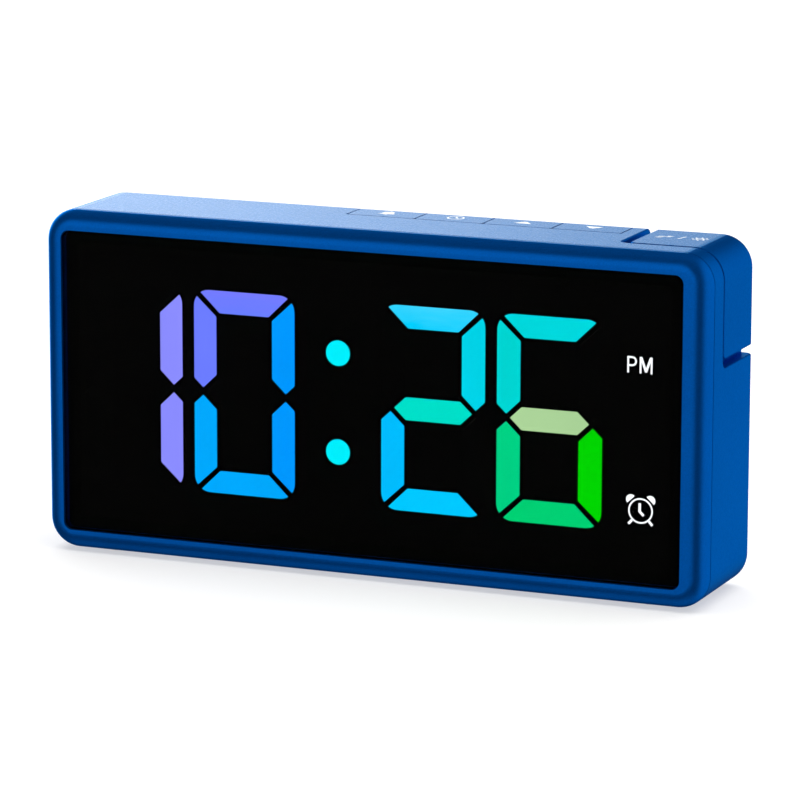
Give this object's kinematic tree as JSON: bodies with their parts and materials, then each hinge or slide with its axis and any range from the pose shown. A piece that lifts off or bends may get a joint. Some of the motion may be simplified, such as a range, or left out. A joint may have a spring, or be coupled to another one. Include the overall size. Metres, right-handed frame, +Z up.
{
  "type": "alarm clock",
  "caption": "Bedside LED alarm clock with a smoked front window, top keys, a corner snooze button, rear speaker, battery bay and power inlet.",
  "frame": {"origin": "under the middle of the clock, on the surface that its feet stand on", "axes": "+X to the right seen from the front, the front faces -Y, +Z up"},
  "size_m": [0.135, 0.026, 0.067],
  "materials": {
    "casing_blue": "satin navy blue moulding with a fine spark texture",
    "rubber_dark": "soft matt rubber",
    "window_smoked": "polished smoked acrylic",
    "tape_black": "double-sided tape",
    "film_black": "printed black film",
    "reflector_white": "white moulding",
    "lit_violet": "milky light guide, lit",
    "lit_blue": "milky light guide, lit",
    "lit_cyan": "milky light guide, lit",
    "lit_green": "milky light guide, lit",
    "lit_colon": "milky light guide, lit",
    "lit_white": "milky light guide, lit",
    "led_white": "surface-mounted light-emitting diode",
    "board_green": "glass-epoxy circuit board with solder mask",
    "steel_plated": "nickel-plated steel",
    "chip_black": "moulded epoxy package",
    "capacitor_sleeve": "shrink sleeve on an aluminium can",
    "key_blue": "satin navy blue moulding with white printed signs",
    "plunger_dark": "black acetal",
    "pin_gold": "gold-flashed brass pins",
    "steel_black": "black-oxide steel",
    "contact_brass": "sprung nickel-brass",
    "cone_paper": "pressed paper cone",
    "foam_black": "closed-cell foam ring",
    "tongue_black": "glass-filled nylon",
    "wire_red": "insulated wire",
    "wire_dark": "insulated wire"
  },
  "bodies": {
    "casing": {"front_bezel": "casing_blue", "rear_housing": "casing_blue", "rubber_feet": "rubber_dark", "display_lens": "window_smoked", "lens_gasket": "tape_black", "mask_film": "film_black", "display_reflector": "reflector_white", "hour_tens_segments": "lit_violet", "hour_units_segments": "lit_blue", "minute_tens_segments": "lit_cyan", "minute_units_segments": "lit_green", "colon_dots": "lit_colon", "pm_indicator": "lit_white", "alarm_indicator": "lit_white", "icon_diffusers": "lit_white", "led_chips": "led_white", "main_board": "board_green", "display_screws": "steel_plated", "controller_chip": "chip_black", "clock_crystal": "steel_plated", "capacitors": "capacitor_sleeve", "key_board": "board_green", "key_board_screws": "steel_plated", "key_switches": "chip_black", "board_header": "chip_black", "header_pins": "pin_gold", "snooze_switch": "chip_black", "snooze_board": "board_green", "housing_screws": "steel_black", "coin_cell": "steel_plated", "cell_contact_negative": "contact_brass", "cell_contact_positive": "contact_brass", "speaker_basket": "steel_plated", "speaker_cone": "cone_paper", "speaker_magnet": "steel_plated", "speaker_gasket": "foam_black", "power_inlet_shell": "steel_plated", "power_inlet_tongue": "tongue_black", "power_board": "board_green", "power_board_screws": "steel_plated", "power_wires": "wire_red", "speaker_wires": "wire_dark", "battery_wires": "wire_red", "snooze_wire": "wire_dark"},
    "snooze": {"snooze_button": "key_blue", "snooze_plunger": "plunger_dark"},
    "door": {"battery_door": "casing_blue"},
    "alarm_key": {"alarm_key": "key_blue", "alarm_key_plunger": "plunger_dark"},
    "set_key": {"set_key": "key_blue", "set_key_plunger": "plunger_dark"},
    "up_key": {"up_key": "key_blue", "up_key_plunger": "plunger_dark"},
    "down_key": {"down_key": "key_blue", "down_key_plunger": "plunger_dark"}
  },
  "joints": [
    {"name": "snooze_press", "type": "slide", "parent": "casing", "child": "snooze", "axis": [-0.7071, 0, -0.7071], "range_m": [0, 0.0008], "stiffness_N_per_m": 2500, "springref_m": -0.0002},
    {"name": "alarm_key_press", "type": "slide", "parent": "casing", "child": "alarm_key", "axis": [0, 0, -1], "range_m": [0, 0.0005], "stiffness_N_per_m": 3000, "springref_m": -0.0001},
    {"name": "set_key_press", "type": "slide", "parent": "casing", "child": "set_key", "axis": [0, 0, -1], "range_m": [0, 0.0005], "stiffness_N_per_m": 3000, "springref_m": -0.0001},
    {"name": "up_key_press", "type": "slide", "parent": "casing", "child": "up_key", "axis": [0, 0, -1], "range_m": [0, 0.0005], "stiffness_N_per_m": 3000, "springref_m": -0.0001},
    {"name": "down_key_press", "type": "slide", "parent": "casing", "child": "down_key", "axis": [0, 0, -1], "range_m": [0, 0.0005], "stiffness_N_per_m": 3000, "springref_m": -0.0001},
    {"name": "battery_door_turn", "type": "hinge", "parent": "casing", "child": "door", "pos_m": [-0.03, 0.0115, 0.034], "axis": [0, -1, 0], "range_deg": [0, 45]}
  ]
}
